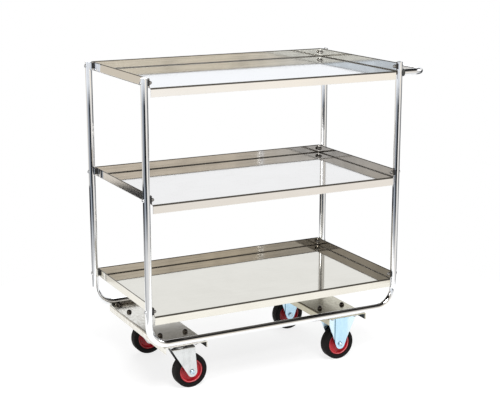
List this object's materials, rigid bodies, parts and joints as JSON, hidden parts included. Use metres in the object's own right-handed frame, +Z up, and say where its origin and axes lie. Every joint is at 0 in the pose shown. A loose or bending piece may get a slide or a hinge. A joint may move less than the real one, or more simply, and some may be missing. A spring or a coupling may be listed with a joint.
{
  "type": "kitchen trolley",
  "caption": "Free-standing kitchen service trolley: U-bent tube side frames, folded sheet trays open at the front, a tube push handle and rubber-tyred castors, swivel at one end.",
  "frame": {"origin": "middle of the bounding box in plan, on the floor under the wheels", "axes": "+X along the length towards the push handle, +Y from the open front of the trays to the rear, +Z up"},
  "size_m": [0.9126, 0.443, 0.9036],
  "materials": {
    "tube_bright": "bright polished tube",
    "tray_steel": "bright polished sheet",
    "channel_steel": "bright sheet",
    "weld_steel": "cleaned weld",
    "fastener_steel": "plain steel",
    "dark_bolt": "blackened steel",
    "fork_zinc": "bright zinc plate",
    "axle_zinc": "bright zinc plate",
    "ball_steel": "hardened steel",
    "black_plastic": "moulded",
    "hub_red": "glossy red",
    "tyre_black": "matt rubber"
  },
  "bodies": {
    "trolley": {"side_frame_front": "tube_bright", "side_frame_rear": "tube_bright", "post_caps": "tube_bright", "tray_top": "tray_steel", "tray_middle": "tray_steel", "tray_bottom": "tray_steel", "tray_spacers": "black_plastic", "tray_screws": "fastener_steel", "tray_nuts": "fastener_steel", "push_handle": "tube_bright", "handle_collars": "black_plastic", "handle_plugs": "fastener_steel", "handle_bolts": "fastener_steel", "castor_channel_left": "channel_steel", "castor_channel_right": "channel_steel", "channel_welds": "weld_steel", "castor_bolts_left": "dark_bolt", "castor_bolts_right": "dark_bolt", "castor_nuts_left": "fastener_steel", "castor_nuts_right": "fastener_steel", "swivel_plate_front": "fork_zinc", "kingpin_front": "fastener_steel", "kingpin_nut_front": "fastener_steel", "swivel_balls_front": "ball_steel", "fixed_fork_front": "fork_zinc", "fixed_axle_front": "axle_zinc", "fixed_axle_nut_front": "axle_zinc", "fixed_bush_front": "fastener_steel", "swivel_plate_rear": "fork_zinc", "kingpin_rear": "fastener_steel", "kingpin_nut_rear": "fastener_steel", "swivel_balls_rear": "ball_steel", "fixed_fork_rear": "fork_zinc", "fixed_axle_rear": "axle_zinc", "fixed_axle_nut_rear": "axle_zinc", "fixed_bush_rear": "fastener_steel"},
    "swivel_front": {"swivel_fork_front": "fork_zinc", "swivel_axle_front": "axle_zinc", "swivel_axle_nut_front": "axle_zinc", "swivel_bush_front": "fastener_steel"},
    "swivel_wheel_front": {"swivel_hub_front": "hub_red", "swivel_tyre_front": "tyre_black"},
    "fixed_wheel_front": {"fixed_hub_front": "hub_red", "fixed_tyre_front": "tyre_black"},
    "swivel_rear": {"swivel_fork_rear": "fork_zinc", "swivel_axle_rear": "axle_zinc", "swivel_axle_nut_rear": "axle_zinc", "swivel_bush_rear": "fastener_steel"},
    "swivel_wheel_rear": {"swivel_hub_rear": "hub_red", "swivel_tyre_rear": "tyre_black"},
    "fixed_wheel_rear": {"fixed_hub_rear": "hub_red", "fixed_tyre_rear": "tyre_black"}
  },
  "joints": [
    {"name": "swivel_turn_front", "type": "hinge", "parent": "trolley", "child": "swivel_front", "pos_m": [-0.33315, -0.1545, 0.127], "axis": [0, 0, 1], "continuous": true},
    {"name": "swivel_wheel_spin_front", "type": "hinge", "parent": "swivel_front", "child": "swivel_wheel_front", "pos_m": [-0.29915, -0.1545, 0.05], "axis": [0, 1, 0], "continuous": true},
    {"name": "fixed_wheel_spin_front", "type": "hinge", "parent": "trolley", "child": "fixed_wheel_front", "pos_m": [0.19485, -0.1545, 0.05], "axis": [0, 1, 0], "continuous": true},
    {"name": "swivel_turn_rear", "type": "hinge", "parent": "trolley", "child": "swivel_rear", "pos_m": [-0.33315, 0.1545, 0.127], "axis": [0, 0, 1], "continuous": true},
    {"name": "swivel_wheel_spin_rear", "type": "hinge", "parent": "swivel_rear", "child": "swivel_wheel_rear", "pos_m": [-0.29915, 0.1545, 0.05], "axis": [0, 1, 0], "continuous": true},
    {"name": "fixed_wheel_spin_rear", "type": "hinge", "parent": "trolley", "child": "fixed_wheel_rear", "pos_m": [0.19485, 0.1545, 0.05], "axis": [0, 1, 0], "continuous": true}
  ]
}
